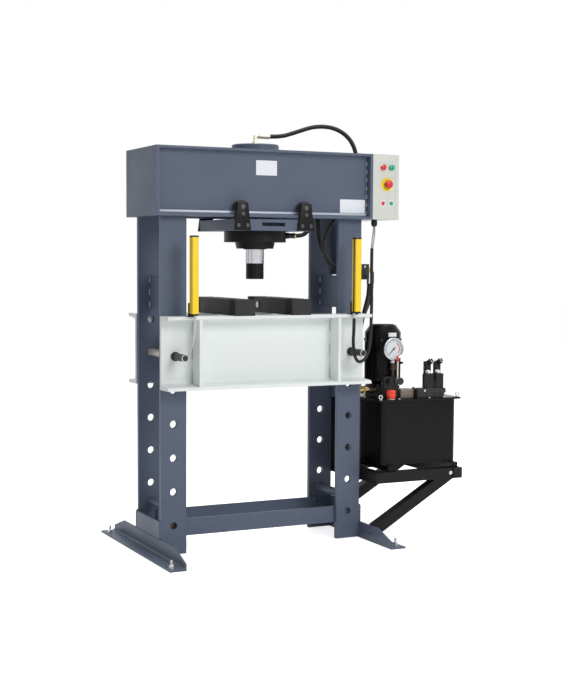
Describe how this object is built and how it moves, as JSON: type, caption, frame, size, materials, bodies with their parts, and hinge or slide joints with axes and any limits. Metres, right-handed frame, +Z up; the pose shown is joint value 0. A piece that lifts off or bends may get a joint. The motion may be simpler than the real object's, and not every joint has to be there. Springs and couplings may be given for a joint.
{
  "type": "hydraulic press",
  "caption": "Column workshop press with a roller-carried hydraulic cylinder, a pinned bed with V-blocks, light curtains, a control box and a bracket-mounted power pack.",
  "frame": {"origin": "on the floor, below the middle of the machine's box", "axes": "+Z up, -Y the front where the operator stands, +X to the right, towards the power pack"},
  "size_m": [1.5606, 0.915, 1.9295],
  "materials": {
    "frame_paint": "satin slate blue paint",
    "bed_paint": "satin off-white paint",
    "box_paint": "fine textured light grey powder coat",
    "black_paint": "satin black paint",
    "yellow_paint": "satin yellow powder coat",
    "black_plastic": "matt black plastic",
    "red_plastic": "gloss red plastic",
    "green_plastic": "gloss green plastic",
    "orange_plastic": "gloss orange red plastic",
    "pale_plastic": "pale grey plastic",
    "steel": "plain machined steel",
    "zinc": "zinc plated steel",
    "dark_steel": "blackened steel",
    "chrome_rod": "hard chrome",
    "brass_fitting": "passivated fittings",
    "hose_rubber": "matt hose rubber",
    "gauge_metal": "bright gauge case",
    "tan_paint": "tan cover"
  },
  "bodies": {
    "frame": {"column_left": "frame_paint", "column_right": "frame_paint", "crown_front_channel": "frame_paint", "crown_rear_channel": "frame_paint", "crown_end_plates": "frame_paint", "base_stretchers": "frame_paint", "foot_left": "frame_paint", "foot_right": "frame_paint", "anchor_bolts": "zinc", "bed_front_channel": "bed_paint", "bed_rear_channel": "bed_paint", "v_block_left": "dark_steel", "v_block_right": "dark_steel", "light_curtain_left": "yellow_paint", "light_curtain_right": "yellow_paint", "curtain_windows": "black_plastic", "curtain_brackets": "black_paint", "curtain_plugs": "black_plastic", "control_box": "box_paint", "control_gear": "pale_plastic", "button_collars": "pale_plastic", "cable_gland": "black_plastic", "junction_block": "dark_steel", "hose_fittings": "brass_fitting", "hose_top": "hose_rubber", "hose_rod_side": "hose_rubber", "pack_hoses": "hose_rubber", "control_cable": "hose_rubber", "curtain_cable_left": "pale_plastic", "pack_bracket": "black_paint", "oil_tank": "black_paint", "tank_lid": "black_paint", "pump_block": "dark_steel", "motor_housing": "black_paint", "pressure_gauge": "gauge_metal", "valve_block": "dark_steel", "solenoid_coils": "black_plastic"},
    "carriage": {"carriage_frame": "frame_paint", "carriage_hangers": "black_paint", "cylinder_barrel": "frame_paint", "cylinder_head": "black_paint", "cylinder_fittings": "brass_fitting"},
    "ram": {"ram_rod": "chrome_rod", "ram_nose": "dark_steel"},
    "rollers_left": {"rollers_left": "steel"},
    "rollers_right": {"rollers_right": "steel"},
    "bed_pin_left": {"bed_pin_left": "steel"},
    "bed_pin_right": {"bed_pin_right": "steel"},
    "button_upper_red": {"button_upper_red": "red_plastic"},
    "button_upper_green": {"button_upper_green": "green_plastic"},
    "button_lower_red": {"button_lower_red": "red_plastic"},
    "button_lower_green": {"button_lower_green": "green_plastic"},
    "emergency_button": {"emergency_button": "red_plastic"},
    "box_door": {"control_box_door": "box_paint"},
    "gauge_needle": {"gauge_needle": "black_plastic"},
    "release_lever": {"release_lever": "zinc"},
    "valve_knob": {"valve_knob": "black_plastic"},
    "flow_knob": {"flow_knob": "zinc"},
    "filler_cap": {"filler_cap": "orange_plastic"},
    "motor_rotor": {"motor_rotor": "steel"}
  },
  "joints": [
    {"name": "carriage_slide", "type": "slide", "parent": "frame", "child": "carriage", "axis": [1, 0, 0], "range_m": [-0.19, 0.13], "deforming": ["hose_top", "hose_rod_side"]},
    {"name": "ram_slide", "type": "slide", "parent": "carriage", "child": "ram", "axis": [0, 0, -1], "range_m": [-0.066, 0.084]},
    {"name": "rollers_left_spin", "type": "hinge", "parent": "carriage", "child": "rollers_left", "pos_m": [-0.34375, 0, 1.53376], "axis": [0, 1, 0], "range_deg": [-400, 400]},
    {"name": "rollers_right_spin", "type": "hinge", "parent": "carriage", "child": "rollers_right", "pos_m": [-0.03175, 0, 1.53376], "axis": [0, 1, 0], "range_deg": [-400, 400]},
    {"name": "bed_pin_left_pull", "type": "slide", "parent": "frame", "child": "bed_pin_left", "axis": [0, -1, 0], "range_m": [0, 0.445]},
    {"name": "bed_pin_right_pull", "type": "slide", "parent": "frame", "child": "bed_pin_right", "axis": [0, -1, 0], "range_m": [0, 0.445]},
    {"name": "button_upper_red_push", "type": "slide", "parent": "frame", "child": "button_upper_red", "axis": [0, 1, 0], "range_m": [0, 0.004], "stiffness_N_per_m": 400},
    {"name": "button_upper_green_push", "type": "slide", "parent": "frame", "child": "button_upper_green", "axis": [0, 1, 0], "range_m": [0, 0.004], "stiffness_N_per_m": 400},
    {"name": "button_lower_red_push", "type": "slide", "parent": "frame", "child": "button_lower_red", "axis": [0, 1, 0], "range_m": [0, 0.004], "stiffness_N_per_m": 400},
    {"name": "button_lower_green_push", "type": "slide", "parent": "frame", "child": "button_lower_green", "axis": [0, 1, 0], "range_m": [0, 0.004], "stiffness_N_per_m": 400},
    {"name": "emergency_button_push", "type": "slide", "parent": "frame", "child": "emergency_button", "axis": [0, 1, 0], "range_m": [0, 0.006], "stiffness_N_per_m": 800},
    {"name": "box_door_hinge", "type": "hinge", "parent": "frame", "child": "box_door", "pos_m": [0.44175, 0.2, 1.64], "axis": [0, 0, 1], "range_deg": [0, 110]},
    {"name": "gauge_needle_turn", "type": "hinge", "parent": "frame", "child": "gauge_needle", "pos_m": [0.44025, -0.19, 0.887], "axis": [0, 1, 0], "range_deg": [0, 270], "stiffness_Nm_per_rad": 0.02},
    {"name": "release_lever_turn", "type": "hinge", "parent": "frame", "child": "release_lever", "pos_m": [0.45425, -0.2098, 0.738], "axis": [0, 1, 0], "range_deg": [0, 35]},
    {"name": "valve_knob_turn", "type": "hinge", "parent": "frame", "child": "valve_knob", "pos_m": [0.41025, -0.216, 0.738], "axis": [0, 1, 0], "range_deg": [-180, 180]},
    {"name": "flow_knob_turn", "type": "hinge", "parent": "frame", "child": "flow_knob", "pos_m": [0.45425, -0.216, 0.738], "axis": [0, 1, 0], "range_deg": [0, 350]},
    {"name": "filler_cap_turn", "type": "hinge", "parent": "frame", "child": "filler_cap", "pos_m": [0.41125, -0.225, 0.654], "axis": [0, 0, 1], "range_deg": [0, 90]},
    {"name": "motor_spin", "type": "hinge", "parent": "frame", "child": "motor_rotor", "pos_m": [0.44725, -0.08, 0.85], "axis": [0, 0, 1], "continuous": true}
  ],
  "couplings": [
    {"joint": "rollers_left_spin", "follows": "carriage_slide", "rad_per_m": 32.895},
    {"joint": "rollers_right_spin", "follows": "carriage_slide", "rad_per_m": 32.895}
  ]
}
